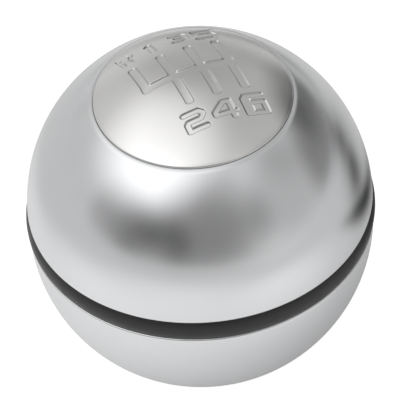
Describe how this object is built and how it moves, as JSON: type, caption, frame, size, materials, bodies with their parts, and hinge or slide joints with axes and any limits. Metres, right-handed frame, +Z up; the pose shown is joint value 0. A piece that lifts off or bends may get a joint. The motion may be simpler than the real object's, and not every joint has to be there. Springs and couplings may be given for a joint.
{
  "type": "gear shift knob",
  "caption": "Ball-shaped gear shift knob in satin aluminium with a black rubber band round its middle and an engraved gate pattern on a domed cap. It screws onto a gear lever.",
  "frame": {"origin": "centre of the base plate's foot, on the axis of the lever", "axes": "+Z up along the lever, away from the base; +Y towards the odd gears on the cap; +X to the right of someone who reads the pattern"},
  "size_m": [0.0506, 0.0506, 0.0485],
  "materials": {
    "satin_aluminium": "satin, fine bead-blasted and anodised clear",
    "black_rubber": "smooth semi-gloss moulded rubber",
    "black_nylon": "fine textured glass-filled nylon",
    "weight_steel": "turned, zinc plated",
    "screw_steel": "zinc plated",
    "insert_brass": "turned",
    "adhesive_foam": "matte closed-cell foam"
  },
  "bodies": {
    "root": {"shift_pattern_cap": "satin_aluminium", "cap_adhesive_ring": "adhesive_foam", "cap_locating_pin": "screw_steel", "upper_shell": "satin_aluminium", "upper_screw_1": "screw_steel", "upper_screw_2": "screw_steel", "upper_screw_3": "screw_steel", "band_ring": "black_rubber", "core_body": "black_nylon", "weight_washer": "adhesive_foam", "weight_ring": "weight_steel", "weight_circlip": "screw_steel", "threaded_insert": "insert_brass", "lever_bush": "black_rubber", "lower_shell": "satin_aluminium", "base_gasket": "adhesive_foam", "base_plate": "black_nylon", "base_screw_1": "screw_steel", "base_screw_2": "screw_steel", "base_screw_3": "screw_steel"}
  },
  "joints": []
}
